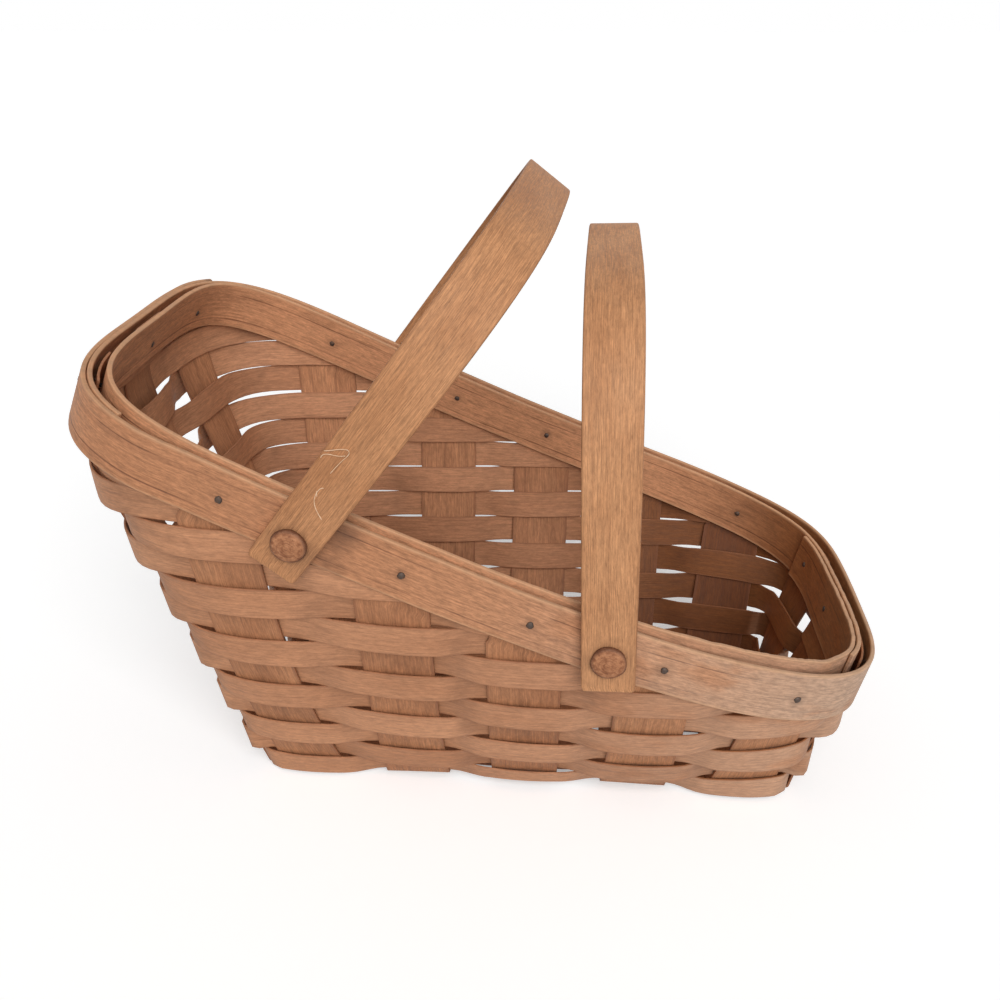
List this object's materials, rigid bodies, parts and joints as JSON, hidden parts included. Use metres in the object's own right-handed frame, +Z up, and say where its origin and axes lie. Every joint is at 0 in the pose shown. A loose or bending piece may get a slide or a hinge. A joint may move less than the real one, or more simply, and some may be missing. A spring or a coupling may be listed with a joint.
{
  "type": "mushroom foraging basket",
  "caption": "Woven splint gathering basket with a rim that slants from a high end to a low end and two bentwood handles that swing on pegs.",
  "frame": {"origin": "on the floor under the middle of the rim", "axes": "+X towards the low end of the rim, +Y to the back, the two handles' pivots run along Y within about 4 degrees, +Z up"},
  "size_m": [0.4045, 0.2492, 0.3221],
  "materials": {
    "stake_splint": "aged bare splint",
    "weaver_splint": "aged bare splint",
    "rim_band": "aged bare wood with open grain",
    "handle": "aged bare bentwood",
    "peg": "darker end grain",
    "nail": "darkened iron"
  },
  "bodies": {
    "basket": {"cross_stake_1": "stake_splint", "cross_stake_2": "stake_splint", "cross_stake_3": "stake_splint", "cross_stake_4": "stake_splint", "cross_stake_5": "stake_splint", "long_stake_1": "stake_splint", "long_stake_2": "stake_splint", "long_stake_3": "stake_splint", "weaver_row_01": "weaver_splint", "weaver_row_02": "weaver_splint", "weaver_row_03": "weaver_splint", "weaver_row_04": "weaver_splint", "weaver_row_05": "weaver_splint", "weaver_row_06": "weaver_splint", "weaver_row_07": "weaver_splint", "weaver_row_08": "weaver_splint", "weaver_row_09": "weaver_splint", "weaver_row_10": "weaver_splint", "weaver_row_11": "weaver_splint", "weaver_row_12": "weaver_splint", "weaver_row_13": "weaver_splint", "weaver_row_14": "weaver_splint", "outer_rim_band": "rim_band", "inner_rim_band": "rim_band", "nail_01": "nail", "nail_02": "nail", "nail_03": "nail", "nail_04": "nail", "nail_05": "nail", "nail_06": "nail", "nail_07": "nail", "nail_08": "nail", "nail_09": "nail", "nail_10": "nail", "nail_11": "nail", "nail_12": "nail", "nail_13": "nail", "nail_14": "nail", "nail_15": "nail", "nail_16": "nail", "high_end_peg_front": "peg", "high_end_peg_back": "peg", "low_end_peg_front": "peg", "low_end_peg_back": "peg"},
    "high_handle": {"high_end_handle": "handle"},
    "low_handle": {"low_end_handle": "handle"}
  },
  "joints": [
    {"name": "high_handle_hinge", "type": "hinge", "parent": "basket", "child": "high_handle", "pos_m": [-0.076, 0, 0.1841], "axis": [0.061, 0.9979, 0.0209], "range_deg": [-69, 3]},
    {"name": "low_handle_hinge", "type": "hinge", "parent": "basket", "child": "low_handle", "pos_m": [0.0617, 0, 0.1268], "axis": [0.0227, 0.9997, 0], "range_deg": [-3, 128]}
  ]
}
